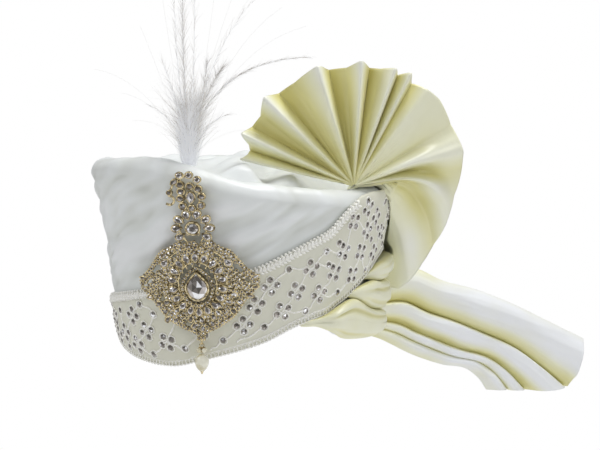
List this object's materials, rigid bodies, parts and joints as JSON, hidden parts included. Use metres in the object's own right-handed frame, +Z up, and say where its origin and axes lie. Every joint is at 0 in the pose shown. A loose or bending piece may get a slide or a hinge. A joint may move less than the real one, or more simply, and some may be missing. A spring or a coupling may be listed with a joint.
{
  "type": "tied wedding turban",
  "caption": "Wound satin turban with an embroidered border, rolled folds at the back, a pleated fan, a hanging tail, a feather plume and a jewelled brooch.",
  "frame": {"origin": "centre of the head opening at its rim", "axes": "+Z up through the crown; the wearer faces -Y and the wearer's left is +X"},
  "size_m": [0.2441, 0.4598, 0.4135],
  "materials": {
    "white_satin": "cool white satin weave, soft sheen",
    "ivory_satin": "ivory satin weave, soft sheen",
    "embroidered_border": "cream cloth with raised cord flowers and small stones",
    "braid": "thick white scalloped braid and thin looped lace",
    "feather": "soft white feather barbs",
    "antique_gold": "antique gold plating, worn",
    "clear_stone": "colourless cut stone on foil",
    "pearl": "imitation pearl",
    "steel": "plain steel wire"
  },
  "bodies": {
    "root": {"crown": "white_satin", "top_cloth": "white_satin", "band": "embroidered_border", "upper_trim": "braid", "lower_trim": "braid", "wrap_low": "ivory_satin", "wrap_middle": "ivory_satin", "wrap_high": "ivory_satin", "fan": "ivory_satin", "tail": "ivory_satin", "plume": "feather", "brooch_frame": "antique_gold", "pin": "steel", "pearl_ring": "antique_gold", "pearl_cluster": "antique_gold", "pearl_drop": "pearl", "centre_stone": "clear_stone", "flower_stone": "clear_stone", "stem_stone": "clear_stone", "top_stone_1": "clear_stone", "top_stone_2": "clear_stone", "top_stone_3": "clear_stone", "bird_stone_1": "clear_stone", "bird_stone_2": "clear_stone", "ring_stone_01": "clear_stone", "ring_stone_02": "clear_stone", "ring_stone_03": "clear_stone", "ring_stone_04": "clear_stone", "ring_stone_05": "clear_stone", "ring_stone_06": "clear_stone", "ring_stone_07": "clear_stone", "ring_stone_08": "clear_stone", "ring_stone_09": "clear_stone", "ring_stone_10": "clear_stone", "ring_stone_11": "clear_stone", "ring_stone_12": "clear_stone", "ring_stone_13": "clear_stone", "ring_stone_14": "clear_stone", "ring_stone_15": "clear_stone", "ring_stone_16": "clear_stone", "ring_stone_17": "clear_stone", "ring_stone_18": "clear_stone", "petal_stone_01": "clear_stone", "petal_stone_02": "clear_stone", "petal_stone_03": "clear_stone", "petal_stone_04": "clear_stone", "petal_stone_05": "clear_stone", "petal_stone_06": "clear_stone", "petal_stone_07": "clear_stone", "petal_stone_08": "clear_stone"}
  },
  "joints": []
}
